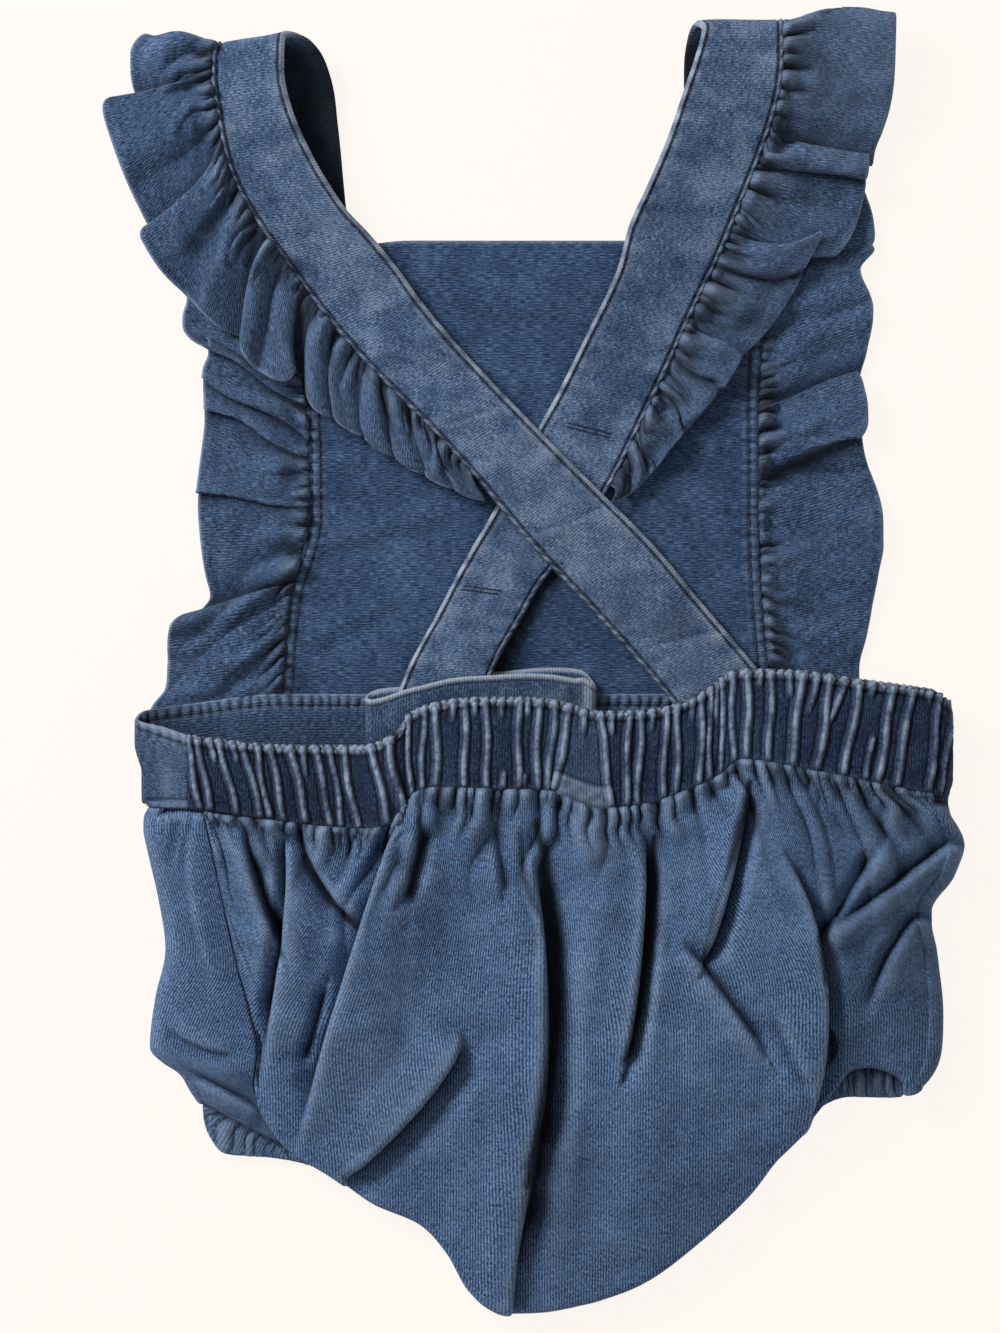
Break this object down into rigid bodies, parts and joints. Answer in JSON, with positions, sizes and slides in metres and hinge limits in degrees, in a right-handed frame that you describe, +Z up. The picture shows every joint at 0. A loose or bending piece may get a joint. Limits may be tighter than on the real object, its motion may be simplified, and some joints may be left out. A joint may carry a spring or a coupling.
{
  "type": "baby romper",
  "caption": "Pinafore-style baby bubble romper in washed knit denim, laid flat back side up, with crossed straps, ruffled shoulders and a shirred elastic back waistband.",
  "frame": {"origin": "centre of the garment's outline on the surface it lies on", "axes": "+Y towards the shoulders, +X to the right of the laid garment seen from above, +Z up off the surface, the back of the garment upwards"},
  "size_m": [0.2494, 0.3782, 0.0189],
  "materials": {
    "bib_denim": "washed knit denim, inner face",
    "waistband_denim": "washed knit denim, shirred over elastic",
    "panel_denim": "washed knit denim, brushed",
    "strap_denim": "washed knit denim, folded and topstitched",
    "ruffle_denim": "washed knit denim, single layer with a narrow hem",
    "binding_denim": "washed knit denim over elastic"
  },
  "bodies": {
    "root": {"bib": "bib_denim", "front_waistband": "waistband_denim", "back_waistband": "waistband_denim", "front_panel": "panel_denim", "back_panel": "panel_denim", "strap_left": "strap_denim", "strap_right": "strap_denim", "strap_keeper": "strap_denim", "ruffle_left": "ruffle_denim", "ruffle_right": "ruffle_denim", "leg_binding_left": "binding_denim", "leg_binding_right": "binding_denim"}
  },
  "joints": []
}
